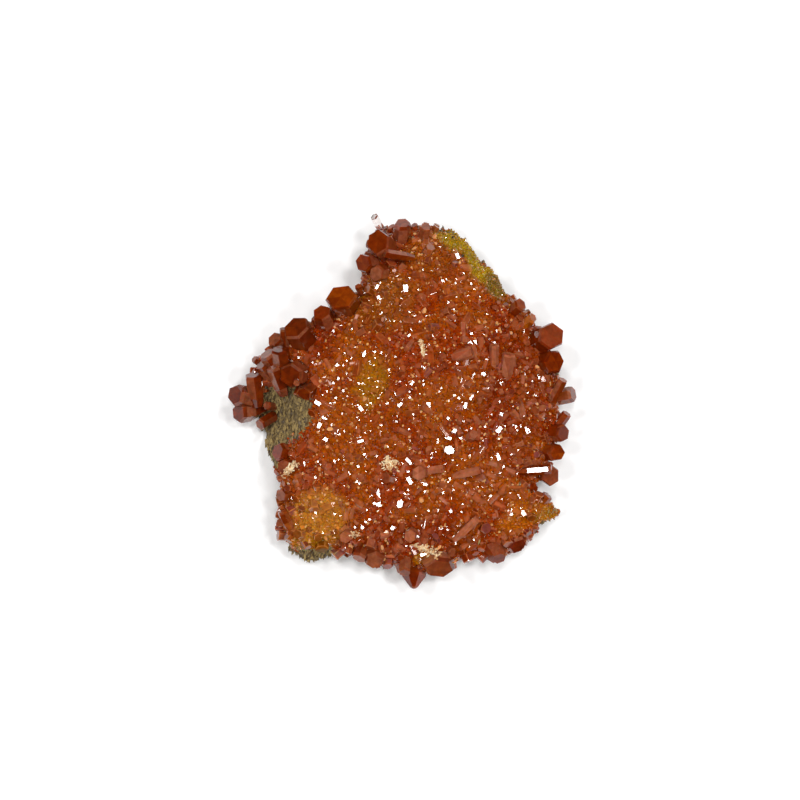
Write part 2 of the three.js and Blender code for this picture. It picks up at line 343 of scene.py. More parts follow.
def clouded(tree, where, colour, haze):
    """The colour with streaked, milky faces, partly a painted sheen, and deep, clear ones."""
    streaks = noise_of(tree, where, scale=1.7, detail=5.0, roughness=0.65)
    # Milky faces, partly a painted sheen.
    milky_and_sheen = do_math(tree, "MULTIPLY", remap(tree, face_random(tree), 0.3, 1.0, 0.0, haze),
                    remap(tree, streaks, 0.3, 0.65, 0.35, 1.0))
    colour = mix(tree, milky_and_sheen, colour, HAZE_AND_SHEEN)
    return mix(tree, remap(tree, face_random(tree), 0.4, 0.1, 0.0, haze * 0.9), colour, DEEP_FACE)


def shaded(tree, where, colour, island, spread):
    """The colour, a little lighter or darker from crystal to crystal and from place to place."""
    cloud = noise_of(tree, where, scale=1.1, detail=4.0)
    shade = do_math(tree, "MULTIPLY", remap(tree, island, 0.0, 1.0, 1 - spread, 1 + spread),
                    remap(tree, cloud, 0.3, 0.7, 0.62, 1.04))
    grey = add_node(tree, "ShaderNodeCombineColor", {0: shade, 1: shade, 2: shade}).outputs[0]
    return mix(tree, 1.0, colour, grey, "MULTIPLY")


def vanadinite(name, tint=None, tint_share=0.0, spread=0.2, violet=0.0, glow=0.5, glow_mm=0.6,
               rough=(0.03, 0.1), ripple_mm=0.0, index=1.6, haze=0.0, matt_most=0.0, matt_from=0.7, pale=0.0):
    """Resinous, slightly translucent vanadinite in the zones' colours.

    tint and tint_share say what the zones' colour turns towards and how far, and spread how much one
    crystal differs from the next. violet is how violet a few crystals are, and pale is the share of the
    crystals that is painted peach as small, dim glints. glow and glow_mm are the share and depth of the
    scattered light. rough is the range of roughness, and index the refraction. haze is how milky the
    milkiest faces are, partly as a painted sheen, and how deep the clearest ones. Past matt_from of the
    crystals each is rougher than the last, up to matt_most. ripple_mm is the depth of a faint relief.
    """
    material, tree, shader = new_material(name)
    where = position_mm(tree)
    island = crystal_random(tree)
    hue = another_random(tree, island, HUE_FACTOR)
    gloss = another_random(tree, island, GLOSS_FACTOR)
    colour = zone_colour(tree)
    if tint is not None:
        share = remap(tree, gloss, 0.0, 1.0, tint_share * 0.6, min(tint_share * 1.4, 1.0))
        colour = mix(tree, share, colour, tint)
    colour = mix(tree, remap(tree, hue, 0.55, 1.0, 0.0, spread), colour, ORANGE)
    colour = mix(tree, remap(tree, hue, 0.35, 0.0, 0.0, spread), colour, DEEP_RED)
    if violet > 0:
        colour = mix(tree, remap(tree, hue, 0.93, 0.95, 0.0, violet), colour, VIOLET)
    if haze > 0:
        colour = clouded(tree, where, colour, haze)
    colour = shaded(tree, where, colour, island, spread)
    if pale > 0:
        # A share of the crystals is painted peach, as small, dim glints.
        glint_dot = another_random(tree, island, GLINT_DOT_FACTOR)
        colour = mix(tree, remap(tree, glint_dot, 1 - pale, 1 - 0.5 * pale, 0.0, 0.9), colour, PAINTED_GLINT_PEACH)
    tree.links.new(colour, shader.inputs["Base Color"])
    smear = noise_of(tree, where, scale=2.2, detail=3.0)
    matt = remap(tree, gloss, matt_from, 0.95, 0.0, matt_most)
    roughness = do_math(tree, "ADD", remap(tree, smear, 0.35, 0.7, *rough), matt)
    tree.links.new(roughness, shader.inputs["Roughness"])
    shader.inputs["IOR"].default_value = index
    shader.inputs["Subsurface Weight"].default_value = glow
    shader.inputs["Subsurface Radius"].default_value = SCATTER_RADIUS
    shader.inputs["Subsurface Scale"].default_value = glow_mm * MM
    if ripple_mm > 0:
        ripple = noise_of(tree, where, scale=3.5, detail=4.0, roughness=0.6)
        add_bump(tree, shader, ripple, strength=0.25, depth_mm=ripple_mm)
    return material


# The clear needle's index is lower than vanadinite's, so that its tip shows the floor and stays pale.
CLEAR_INDEX = 1.14


def clear_crystal(name, tint, transmission):
    """Clear, faintly tinted crystal."""
    material, tree, shader = new_material(name)
    cloud = noise_of(tree, position_mm(tree), scale=1.6, detail=3.0)
    colour = mix(tree, remap(tree, cloud, 0.45, 0.75, 0.0, 0.2), tint, HAZY_PINK)
    tree.links.new(colour, shader.inputs["Base Color"])
    tree.links.new(remap(tree, cloud, 0.3, 0.7, 0.02, 0.12), shader.inputs["Roughness"])
    shader.inputs["IOR"].default_value = CLEAR_INDEX
    shader.inputs["Transmission Weight"].default_value = transmission
    return material


def sandy_colour(tree, where):
    """Fibrous sandy rock, streaked along Y."""
    drawn = vector_math(tree, "MULTIPLY", where, (1.0, 0.36, 1.0))
    broad = noise_of(tree, drawn, scale=0.9, detail=5.0, roughness=0.65)
    grain = noise_of(tree, drawn, scale=2.6, detail=4.0, roughness=0.7)
    colour = mix(tree, remap(tree, broad, 0.35, 0.65), SANDY_DARK, SANDY)
    return mix(tree, remap(tree, grain, 0.52, 0.75, 0.0, 0.7), colour, SANDY_LIGHT)


def rock_material():
    """Sandy rock where it is bare, and the druse's colour where crystals cover it, darkened in specks as
    painted shade in the gaps between the crystals.
    """
    material, tree, shader = new_material("matrix_and_crust")
    where = position_mm(tree)
    crust = add_node(tree, "ShaderNodeAttribute", attribute_name="crust").outputs["Fac"]
    speckle = noise_of(tree, where, scale=3.2, detail=3.0)
    # Specks of painted shade between the crystals.
    druse = mix(tree, remap(tree, speckle, 0.3, 0.7, 0.15, 0.6), zone_colour(tree), GAP_SHADE)
    edge = do_math(tree, "ADD", crust, remap(tree, speckle, 0.2, 0.8, -0.25, 0.25))
    share = remap(tree, edge, 0.35, 0.65, smooth=True)
    colour = mix(tree, share, sandy_colour(tree, where), druse)
    pit = add_node(tree, "ShaderNodeAttribute", attribute_name="pit").outputs["Fac"]
    # Painted shade in the pits.
    colour = mix(tree, remap(tree, pit, 0.2, 0.7), colour, PIT_SHADE)
    tree.links.new(colour, shader.inputs["Base Color"])
    tree.links.new(remap(tree, share, 0.0, 1.0, 0.92, 0.4), shader.inputs["Roughness"])
    grit = noise_of(tree, where, scale=4.0, detail=6.0, roughness=0.65)
    add_bump(tree, shader, grit, strength=0.7, depth_mm=0.25)
    return material


def grain_material(name, low, high, dirt):
    """Loose mineral grains, each a little different. dirt is how dark their dirtiest specks are."""
    material, tree, shader = new_material(name)
    grain = crystal_random(tree)
    speckle = noise_of(tree, position_mm(tree), scale=6.0, detail=3.0)
    colour = mix(tree, grain, low, high)
    colour = mix(tree, remap(tree, speckle, 0.45, 0.7, 0.0, dirt), colour, SANDY_DARK)
    tree.links.new(colour, shader.inputs["Base Color"])
    tree.links.new(remap(tree, grain, 0.0, 1.0, 0.45, 0.9), shader.inputs["Roughness"])
    add_bump(tree, shader, speckle, strength=0.4, depth_mm=0.05)
    return material


# Each crystal piece has a look for its faces, and the worn ones have another for their edges, lighter as wear
# and as a painted highlight.
SMOOTH = (0.02, 0.06)  # the roughness of small, fresh faces

fine_look = vanadinite("vanadinite_druse", spread=0.17, glow=0.6, glow_mm=0.5, rough=SMOOTH, index=1.45,
                       matt_most=0.03, pale=0.07)
small_look = vanadinite("vanadinite_small", HAZY_PINK, 0.16, spread=0.16, rough=SMOOTH, index=1.45,
                        matt_most=0.22, matt_from=0.65, pale=0.08)
medium_look = vanadinite("vanadinite_medium", HAZY_PINK, 0.5, spread=0.16, violet=0.5, rough=SMOOTH,
                         index=1.5, haze=0.4, matt_most=0.24, matt_from=0.45)
medium_edge = vanadinite("medium_edge", WEAR_AND_HIGHLIGHT_TINT, 0.45, spread=0.1, glow_mm=0.4)
block_look = vanadinite("vanadinite_block", BLOCK_TINT, 0.6, spread=0.1, rough=(0.02, 0.07), haze=0.4)
block_edge = vanadinite("block_edge", WEAR_AND_HIGHLIGHT_TINT, 0.3, spread=0.1, glow_mm=0.4)
rim_look = vanadinite("vanadinite_rim", RIM_TINT, 0.5, spread=0.14, violet=0.4, rough=(0.02, 0.08), haze=0.6)
rim_edge = vanadinite("rim_edge", WEAR_AND_HIGHLIGHT_TINT, 0.45, spread=0.1, glow_mm=0.4)


# ------------------------------------ meshes

def make_object(name, mesh, materials):
    """A piece of the specimen out of a mesh."""
    piece = bpy.data.objects.new(name, mesh)
    bpy.context.scene.collection.objects.link(piece)
    for material in materials:
        mesh.materials.append(material)
    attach(piece, "root")


def mesh_from(name, vertices, loops, counts):
    """A mesh from its vertices, its faces' corners in a row and each face's number of corners."""
    mesh = bpy.data.meshes.new(name)
    mesh.vertices.add(len(vertices))
    mesh.vertices.foreach_set("co", np.asarray(vertices, np.float32).ravel())
    mesh.loops.add(len(loops))
    mesh.loops.foreach_set("vertex_index", np.asarray(loops, np.int32))
    mesh.polygons.add(len(counts))
    starts = np.concatenate([[0], np.cumsum(counts)[:-1]])
    mesh.polygons.foreach_set("loop_start", starts.astype(np.int32))
    mesh.polygons.foreach_set("use_smooth", np.zeros(len(counts), bool))
    mesh.update(calc_edges=True)
    mesh.validate()
    return mesh


def points_and_normals(mesh):
    """Each vertex's place, in metres, and normal."""
    points = np.empty(len(mesh.vertices) * 3, np.float32)
    normals = np.empty(len(mesh.vertices) * 3, np.float32)
    mesh.vertices.foreach_get("co", points)
    mesh.vertex_normals.foreach_get("vector", normals)
    return points.reshape(-1, 3), normals.reshape(-1, 3)


def hexagon(chamfer):
    """The corners of a hexagon, each cut to two when chamfer is over 0."""
    angles = np.arange(6) * np.pi / 3
    corners = np.stack([np.cos(angles), np.sin(angles)], 1)
    if chamfer == 0:
        return corners
    before = corners + chamfer * (np.roll(corners, 1, 0) - corners)
    after = corners + chamfer * (np.roll(corners, -1, 0) - corners)
    return np.stack([before, after], 1).reshape(-1, 2)


def prism_template(rings, chamfer=0.0):
    """Vertices, corners, counts and kinds (0 a face, 1 a worn edge with a painted highlight) of a closed
    prism.

    rings is [(radius, height)] from root to tip. The last ring is a worn edge where there is a chamfer.
    """
    circle = hexagon(chamfer)
    sides = len(circle)
    vertices = np.concatenate([np.column_stack([circle * r, np.full(sides, h)]) for r, h in rings])
    faces = [list(range(sides))[::-1]]
    kinds = [0]
    for ring in range(len(rings) - 1):
        low, high = ring * sides, (ring + 1) * sides
        for side in range(sides):
            after = (side + 1) % sides
            faces.append([low + side, low + after, high + after, high + side])
            # The chamfer's faces take the edge look: wear and a painted highlight.
            worn_and_highlit = chamfer > 0 and (side % 2 == 0 or ring == len(rings) - 2)
            kinds.append(int(worn_and_highlit))
    faces.append([(len(rings) - 1) * sides + side for side in range(sides)])
    kinds.append(0)
    return vertices, np.concatenate(faces), np.array([len(f) for f in faces]), np.array(kinds)


FINE_FORM = prism_template([(0.85, 0.0), (1.0, 1.0)])
WORN_FORM = prism_template([(0.8, 0.0), (1.0, 0.3), (1.0, 0.95), (0.9, 1.0)], chamfer=0.1)


def unit(vectors):
    return vectors / np.linalg.norm(vectors, axis=-1, keepdims=True)


def frames_along(axes, spins):
    """An (n, 3, 3) turn for each axis: its columns are two cross directions and the axis."""
    helper = np.where(np.abs(axes[:, 2:3]) < 0.9, [[0.0, 0.0, 1.0]], [[1.0, 0.0, 0.0]])
    side = np.cross(helper, axes)
    side /= np.linalg.norm(side, axis=1, keepdims=True)
    other = np.cross(axes, side)
    cos, sin = np.cos(spins)[:, None], np.sin(spins)[:, None]
    return np.stack([side * cos + other * sin, other * cos - side * sin, axes], axis=2)


def frames_facing(axes, facing):
    """The turns that point the prisms along their axes with the normal of one side along facing."""
    across = np.cross(axes, facing)
    half = math.radians(30)  # from a corner of the hexagon to the middle of a side
    first = facing * math.cos(half) - across * math.sin(half)
    second = facing * math.sin(half) + across * math.cos(half)
    return np.stack([first, second, axes], axis=2)


rng = np.random.default_rng(5)  # for every draw apart from the surface's own


def many_crystals(name, form, roots, axes, widths, lengths, uneven=0.2, facing=None):
    """One joined mesh of crystals. roots and sizes are in mm, and uneven is how far a prism may flatten.

    Each prism's spin is random unless facing gives the normal of one of its sides.
    """
    template, loops, counts, kinds = form
    count = len(roots)
    stretch = np.exp(rng.uniform(-uneven, uneven, count))
    sizes = np.stack([widths / 2 * stretch, widths / 2 / stretch, lengths], 1)
    if facing is None:
        turns = frames_along(axes, rng.uniform(0, math.pi, count))
    else:
        turns = frames_facing(axes, facing)
    local = template[None] * sizes[:, None]
    vertices = np.einsum("nij,nkj->nki", turns, local) + roots[:, None]
    offsets = np.arange(count)[:, None] * len(template)
    corners = (loops[None] + offsets).ravel()
    mesh = mesh_from(name, vertices.reshape(-1, 3) * MM, corners, np.tile(counts, count))
    mesh.polygons.foreach_set("material_index", np.tile(kinds, count).astype(np.int32))
    return mesh


# ------------------------------------ the rock's skin

VOXEL_MM = 0.46
CRUST_LOW_MM = 5.5  # the height at which the crust begins
CRUST_FULL_MM = 9.5  # the height at which it covers the rock
PIT_DEPTH_MM = 0.8
ROUGH_FROM_MM = 1.2  # below this height the relief fades out, so that the foot stays flat
FOOT_SHARE = 0.2  # what has no more than this share of the relief belongs to the foot
FOOT_TOP_MM = 0.15  # the foot is no higher than this
FOOT_FLAT_MM = 0.12  # what is below this lies on the floor


def crust_cover(points, normals):
    """How far crystals cover the rock at each point (mm), from 0, bare, to 1."""
    height = ramp(points[:, 2], CRUST_LOW_MM, CRUST_FULL_MM)
    facing = np.clip(normals[:, 2] * 1.2 + 0.75, 0, 1)
    return height * facing * (1 - most_of(points, BARE_ZONES))


def away_from_bare(points):
    """1 away from the bare zones, falling to 0 in them."""
    return (1 - most_of(points, BARE_ZONES)) ** 2


def pit_depth(points):
    """How deep the pits are at each point, from 0 to 1. The same share paints shade into them."""
    return np.max([blob(points, middle, (half, half)) for middle, half in PITS], axis=0)


def voxel_copy(source, name):
    """A new object with the source's solid as an even mesh of small faces."""
    piece = bpy.data.objects.new(name, source.data.copy())
    bpy.context.scene.collection.objects.link(piece)
    piece.data.materials.clear()
    remesh = piece.modifiers.new("voxels", "REMESH")
    remesh.mode = "VOXEL"
    remesh.voxel_size = VOXEL_MM * MM
    depsgraph = bpy.context.evaluated_depsgraph_get()
    mesh = bpy.data.meshes.new_from_object(piece.evaluated_get(depsgraph))
    piece.modifiers.clear()
    piece.data = mesh
    mesh.name = name
    return piece


def rock_relief(points, cover):
    """How far the rock stands out at each point, in mm: chips where it is bare, low lumps elsewhere."""
    broad = np.array([noise.fractal(Vector(p * 0.33), 1.0, 2.0, 4) for p in points])
    fine = np.array([noise.noise(Vector(p * 1.3)) for p in points])
    sharp = np.array([noise.ridged_multi_fractal(Vector(p * 0.21), 1.0, 2.1, 4, 1.0, 2.0) for p in points])
    streaks = np.array([noise.noise(Vector((p[0] * 1.5, p[1] * 0.4, p[2] * 1.5))) for p in points])
    chips = 0.5 * broad + 0.35 * (sharp - 1.0) + 0.16 * fine + 0.45 * streaks
    lumps = 0.3 * broad + 0.1 * fine
    relief = np.where(cover > 0.5, lumps, chips * (1 - cover) + lumps * cover)
    return relief - PIT_DEPTH_MM * pit_depth(points)


def rock_skin():
    """A fine copy of the slab's solid, with chips and grains in its surface. It stands for the slab."""
    piece = voxel_copy(frame["nodes"][ROCK], "rock_skin")
    mesh = piece.data
    points, normals = points_and_normals(mesh)
    points = points / MM
    cover = crust_cover(points, normals)
    relief = rock_relief(points, cover)
    fade = ramp(points[:, 2], 0, ROUGH_FROM_MM)
    points += normals * (relief * fade)[:, None]
    points[:, 2] = np.where(fade <= FOOT_SHARE, np.minimum(points[:, 2], FOOT_TOP_MM), points[:, 2])
    points[points[:, 2] < FOOT_FLAT_MM, 2] = 0.0
    mesh.vertices.foreach_set("co", (points * MM).astype(np.float32).ravel())
    mesh.update()
    for name, values in (("crust", cover), ("pit", pit_depth(points))):
        attribute = mesh.attributes.new(name, "FLOAT", "POINT")
        attribute.data.foreach_set("value", values.astype(np.float32))
    mesh.polygons.foreach_set("use_smooth", np.ones(len(mesh.polygons), bool))
    mesh.materials.append(rock_material())
    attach(piece, "root")
    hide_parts(ROCK)
    return piece


def slab_normals(points):
    """The normal of the CAD's smooth slab nearest to each point (mm)."""
    mesh = frame["nodes"][ROCK].data
    tree = BVHTree.FromPolygons([v.co / MM for v in mesh.vertices], [p.vertices for p in mesh.polygons])
    return np.array([tree.find_nearest(Vector(point))[1] for point in points])


class Surface:
    """Places on the rock's skin, in mm, drawn at random."""

    def __init__(self, piece, seed):
        mesh = piece.data
        mesh.calc_loop_triangles()
        corners = np.empty(len(mesh.loop_triangles) * 3, np.int32)
        mesh.loop_triangles.foreach_get("vertices", corners)
        points, normals = points_and_normals(mesh)
        self.corners = corners.reshape(-1, 3)
        self.points = points.astype(float) / MM
        smooth = slab_normals(self.points)
        self.normals = unit(normals.astype(float) + smooth)
        a, b, c = (self.points[self.corners[:, i]] for i in range(3))
        self.areas = np.linalg.norm(np.cross(b - a, c - a), axis=1) / 2
        self.middles = (a + b + c) / 3
        self.face_normals = unit(smooth[self.corners].mean(1))
        self.rng = np.random.default_rng(seed)

    def draw(self, count, density):
        """count places and normals, thicker where density(places, normals) is higher."""
        weight = self.areas * density(self.middles, self.face_normals)
        chosen = self.rng.choice(len(weight), count, p=weight / weight.sum())
        share = self.rng.dirichlet((1, 1, 1), count)[:, :, None]
        corners = self.corners[chosen]
        return (self.points[corners] * share).sum(1), unit((self.normals[corners] * share).sum(1))


# ------------------------------------ light and camera settings

FRAME_WIDTH_MM = 141.5  # what the picture's width spans at the specimen
LENS_MM = 100.0
SENSOR_MM = 36.0
VIEW_FROM = Vector((-0.05, -0.08, 1.0)).normalized()
LOOK_AT = Vector((*placed(-0.18, 0.0), 10.0)) * MM
CAMERA_AT = LOOK_AT + VIEW_FROM * (FRAME_WIDTH_MM / SENSOR_MM * LENS_MM * MM)

# Small, very bright panels that make the glints, by their direction from the specimen. lamp_back is
# where right_lying_prism mirrors it into the camera.
LAMPS = {
    "lamp_key": (0.3, 0.42, 1.0),
    "lamp_side": (0.22, 0.1, 1.0),
    "lamp_back": (-0.494, 0.27, 1.0),
    "lamp_left": (-0.45, -0.15, 1.0),
    "lamp_right": (0.5, -0.1, 1.0),
    "lamp_front": (0.05, -0.5, 1.0),
    "lamp_top": (-0.08, 0.08, 1.0),
}
LAMP_SIZE = 0.36
LAMP_RADIANCE = 43.0

# Large, dim panels that the broad faces mirror: direction and size in metres.
WINDOWS = {
    "window_left": ((-1.0, 0.1, 0.55), 2.7),
    "window_back": ((0.3, 1.0, 0.6), 2.4),
}
WINDOW_RADIANCE = 0.14

PANEL_DISTANCE = 3.0  # metres from the specimen to each panel
WORLD_COLOUR = (1.0, 0.97, 0.95, 1)
WORLD_STRENGTH = 0.02


# ------------------------------------ placing the small crystals

TEST_HEIGHT_MM = 0.3  # how far above the surface a crystal's place is tested
MIN_CLEARING_MM = 0.8  # the least half size of the clearing that a pale patch makes


def large_crystals():
    """The CAD's crystals, apart from the slab."""
    return {name: node for name, node in frame["nodes"].items() if name != ROCK}


def crystal_tree():
    """A search tree over all the CAD's crystals, in mm."""
    vertices, faces = [], []
    for node in large_crystals().values():
        start = len(vertices)
        vertices += [v.co / MM for v in node.data.vertices]
        faces += [[start + i for i in polygon.vertices] for polygon in node.data.polygons]
    return BVHTree.FromPolygons(vertices, faces)


skin = rock_skin()
surface = Surface(skin, seed=11)
solid_crystals = crystal_tree()


def thinned(points, gap):
    """The indices that remain when no two kept points are closer than gap, which may differ by point."""
    cell = float(np.max(gap))
    kept = []
    grid = {}
    keys = np.floor(points / cell).astype(int)
    for i, key in enumerate(map(tuple, keys)):
        near = (
            j
            for dx in (-1, 0, 1)
            for dy in (-1, 0, 1)
            for dz in (-1, 0, 1)
            for j in grid.get((key[0] + dx, key[1] + dy, key[2] + dz), ())
        )
        place = points[i]
        if all(np.dot(place - points[j], place - points[j]) > gap[i] ** 2 for j in near):
            grid.setdefault(key, []).append(i)
            kept.append(i)
    return np.array(kept)


def outside(tree, points, margin):
    """Whether each point is outside every large crystal by margin mm."""
    result = []
    for point in points:
        hit, normal, _, _ = tree.ray_cast(Vector(point), Vector((0, 0, 1)))
        inside = hit is not None and normal.z > 0
        distance = tree.find_nearest(Vector(point))[3]
        result.append((-distance if inside else distance) > margin)
    return np.array(result)


def tilted(normals, most, least=0.0):
    """Axes that lean from each normal by a random angle between least and most degrees."""
    random = unit(rng.normal(size=normals.shape))
    across = unit(random - (random * normals).sum(1, keepdims=True) * normals)
    lean = np.radians(rng.uniform(least, most, len(normals)))[:, None]
    return normals * np.cos(lean) + across * np.sin(lean)


def sunk(points, axes, lengths, buried):
    """The roots of crystals that have the share buried of their length below the points."""
    return points - axes * (lengths * buried)[:, None]


def crystals_on(count, draws, density, widths_of, gap, clearance):
    """Places, normals and widths of crystals that keep apart and stay out of the large ones.

    At most count crystals come out of draws random places. gap is the least distance between two, in
    widths, and clearance the least distance to a large crystal, in mm.
    """
    points, normals = surface.draw(draws, density)
    widths = widths_of(points)
    kept = thinned(points, widths * gap)[:count]
    points, normals, widths = points[kept], normals[kept], widths[kept]
    clear = outside(solid_crystals, points + normals * TEST_HEIGHT_MM, clearance)
    return points[clear], normals[clear], widths[clear]


def larger_allowed(points):
    """Where crystals larger than the fine druse may grow, from 0 to 1."""
    patches = [(middle, (max(along, MIN_CLEARING_MM), max(across, MIN_CLEARING_MM)))
               for middle, along, across, _, _ in PALE_PATCHES.values()]
    clear = (1 - most_of(points, CRUST_ZONES)) * (1 - most_of(points, patches))
    return clear * (1 - pit_depth(points)) * away_from_bare(points)


def coarse_share(points):
    """Where the druse is coarse: the right-hand third and the lower edge."""
    right = ramp(points[:, 0], 6, 16) * ramp(points[:, 1], 14, 8)
    low = ramp(points[:, 1], -10, -18)
    return np.maximum(right, low)


# ------------------------------------ the small crystals

FINE_BANDS = ("south", "lower", "upper", "north")  # the fine druse is cut into these, to keep pieces small


def add_fine_druse():
    """The velvet of tiny crystals that covers the rock."""
    def density(points, normals):
        low_dust = 0.008 * (points[:, 2] > 1)
        return (crust_cover(points, normals) * (1 - pit_depth(points)) + low_dust) * away_from_bare(points)

    def widths_of(points):
        shrink = 1 - 0.2 * most_of(points, FINE_ZONES) - 0.35 * most_of(points, CRUST_ZONES)
        return rng.uniform(0.34, 0.62, len(points)) * shrink

    points, normals, widths = crystals_on(count=33000, draws=110000, density=density, widths_of=widths_of,
                                          gap=0.68, clearance=0.05)
    axes = tilted(normals, most=34)
    lengths = widths * rng.uniform(1.2, 2.2, len(widths))
    roots = sunk(points, axes, lengths, buried=0.55)
    bands = np.array_split(np.argsort(points[:, 1]), len(FINE_BANDS))
    for label, band in zip(FINE_BANDS, bands):
        name = f"fine_druse_{label}"
        mesh = many_crystals(name, FINE_FORM, roots[band], axes[band], widths[band], lengths[band])
        make_object(name, mesh, [fine_look])


def add_small_crystals():
    """Crystals of about half a millimetre to one, which lean every way."""
    def density(points, normals):
        coarse = 1 - 0.2 * most_of(points, FINE_ZONES)
        return (crust_cover(points, normals) * coarse + 0.004 * (points[:, 2] > 2)) * larger_allowed(points)

    def widths_of(points):
        return 0.42 + 0.6 * rng.random(len(points)) ** 2

    points, normals, widths = crystals_on(count=4600, draws=15000, density=density, widths_of=widths_of,
                                          gap=0.8, clearance=0.1)
    axes = tilted(normals, most=80, least=12)
    lengths = widths * rng.uniform(1.1, 2.2, len(widths))
    roots = sunk(points, axes, lengths, buried=0.55)
    mesh = many_crystals("small_crystals", FINE_FORM, roots, axes, widths, lengths, uneven=0.3)
    make_object("small_crystals", mesh, [small_look])


UPRIGHT_SHARE = 0.22  # how many of the medium crystals stand


def add_medium_crystals():
    """Prisms in the druse. Most lie in it, and some stand with only their ends showing."""
    def density(points, normals):
        coarse = 1 - 0.93 * most_of(points, FINE_ZONES)
        busy = 0.3 + coarse_share(points)
        return crust_cover(points, normals) * coarse * busy * larger_allowed(points)

    def widths_of(points):
        return rng.uniform(0.7, 1.4, len(points))

    points, normals, widths = crystals_on(count=620, draws=3600, density=density, widths_of=widths_of,
                                          gap=1.05, clearance=0.1)
    upright = rng.random(len(widths)) < UPRIGHT_SHARE
    widths = np.where(upright, widths * 0.7, widths)
    axes = np.where(upright[:, None], tilted(normals, most=34), tilted(normals, most=88, least=46))
    lengths = widths * rng.uniform(1.5, 2.8, len(widths))
    roots = sunk(points, axes, lengths, buried=np.where(upright, 0.8, 0.5))
    mesh = many_crystals("medium_crystals", WORN_FORM, roots, axes, widths, lengths, uneven=0.25)
    make_object("medium_crystals", mesh, [medium_look, medium_edge])


def mirror_normals(points):
    """For each point (mm), the normal with which a face there mirrors a random lamp into the camera."""
    panels = [Vector(direction).normalized() for direction in LAMPS.values()]
    lamps = np.array([LOOK_AT + direction * PANEL_DISTANCE for direction in panels]) / MM
    chosen = lamps[rng.integers(len(lamps), size=len(points))]
    return unit(unit(chosen - points) + unit(np.array(CAMERA_AT) / MM - points))


BRIGHT_SHARE = 0.24  # how many of the blocks mirror a lamp
SIDE_REACH = 0.433  # from a prism's axis to the middle of a side, as a share of its width


def add_blocks():
    """Stout prisms that lie in the druse with one side up. Some of these sides mirror a lamp."""
    def density(points, normals):
        return crust_cover(points, normals) * larger_allowed(points) * (normals[:, 2] > 0.8)

    def widths_of(points):
        return rng.uniform(1.2, 2.2, len(points))

    points, normals, widths = crystals_on(count=130, draws=900, density=density, widths_of=widths_of,
                                          gap=1.2, clearance=0.3)
    bright = rng.random(len(points)) < BRIGHT_SHARE
    facing = np.where(bright[:, None], tilted(mirror_normals(points), most=1.5), tilted(normals, most=24))
    axes = unit(np.cross(facing, rng.normal(size=facing.shape)))
    widths = np.where(bright, widths * 0.85, widths)
    lengths = widths * rng.uniform(0.9, 1.5, len(widths))
    rise = rng.uniform(0.42, 0.62, len(widths))
    depth = widths * SIDE_REACH - rise
    roots = sunk(points, axes, lengths, buried=0.5) - facing * depth[:, None]
    mesh = many_crystals("blocky_crystals", WORN_FORM, roots, axes, widths, lengths, uneven=0, facing=facing)
    make_object("blocky_crystals", mesh, [block_look, block_edge])


def add_rim_crystals():
    """Stout crystals on the slab's shoulder, between and around the largest."""
    def density(points, normals):
        shoulder = np.exp(-((normals[:, 2] - 0.45) / 0.22) ** 2) * (points[:, 2] > CRUST_LOW_MM)
        return shoulder * larger_allowed(points)

    def widths_of(points):
        return 1.0 + 1.2 * rng.random(len(points)) ** 1.5

    points, normals, widths = crystals_on(count=300, draws=1500, density=density, widths_of=widths_of,
                                          gap=0.85, clearance=-0.2)
    axes = tilted(normals, most=55)
    lengths = widths * rng.uniform(1.1, 2.0, len(widths))
    roots = sunk(points, axes, lengths, buried=0.6)
    mesh = many_crystals("rim_crystals", WORN_FORM, roots, axes, widths, lengths, uneven=0.25)
    make_object("rim_crystals", mesh, [rim_look, rim_edge])


# ------------------------------------ pale patches and rock fibres

ABOVE_ALL_MM = 40.0  # higher than anything on the specimen
BLADE_RISE_MM = 0.35  # how far above the druse the cream blades are placed
FIBRE_COUNT = 5000


def ground_at(trees, x, y):
    """The highest place under a point seen from above, in mm, or None past the edge."""
    hits = [tree.ray_cast(Vector((x, y, ABOVE_ALL_MM)), Vector((0, 0, -1)))[0] for tree in trees]
    return max((hit for hit in hits if hit), key=lambda hit: hit.z, default=None)


def add_pale_patches():
    """Clusters of cream blades that stand in the druse."""
    look = grain_material("pale_grain", CREAM, CREAM_DARK, dirt=0.12)
    skin_tree = BVHTree.FromPolygons([Vector(p) for p in surface.points], surface.corners.tolist())
    trees = [skin_tree, solid_crystals]
    for label, (middle, along, across, turn, blades) in PALE_PATCHES.items():
        spread = np.clip(rng.normal(size=(blades, 2)) * 0.55, -1.2, 1.2) * [along, across]
        angle = math.radians(turn)
        turned = spread @ np.array([[math.cos(angle), math.sin(angle)], [-math.sin(angle), math.cos(angle)]])
        places = [ground_at(trees, x, y) for x, y in turned + placed(*middle)]
        points = np.array([place for place in places if place])
        count = len(points)
        up = np.tile([0.0, 0.0, 1.0], (count, 1))
        axes = tilted(up, most=85, least=20)
        widths = rng.uniform(0.15, 0.32, count)
        lengths = widths * rng.uniform(1.4, 3.4, count)
        roots = sunk(points + up * BLADE_RISE_MM, axes, lengths, buried=0.4)
        name = f"pale_patch_{label}"
        mesh = many_crystals(name, FINE_FORM, roots, axes, widths, lengths, uneven=0.4)
        make_object(name, mesh, [look])


def ball_template():
    """The vertices and the triangles' corners of a coarse ball with a radius of 1."""
    ball = bmesh.new()
    bmesh.ops.create_icosphere(ball, subdivisions=1, radius=1.0)
    vertices = np.array([v.co for v in ball.verts])
    loops = np.array([v.index for f in ball.faces for v in f.verts])
    ball.free()
    return vertices, loops


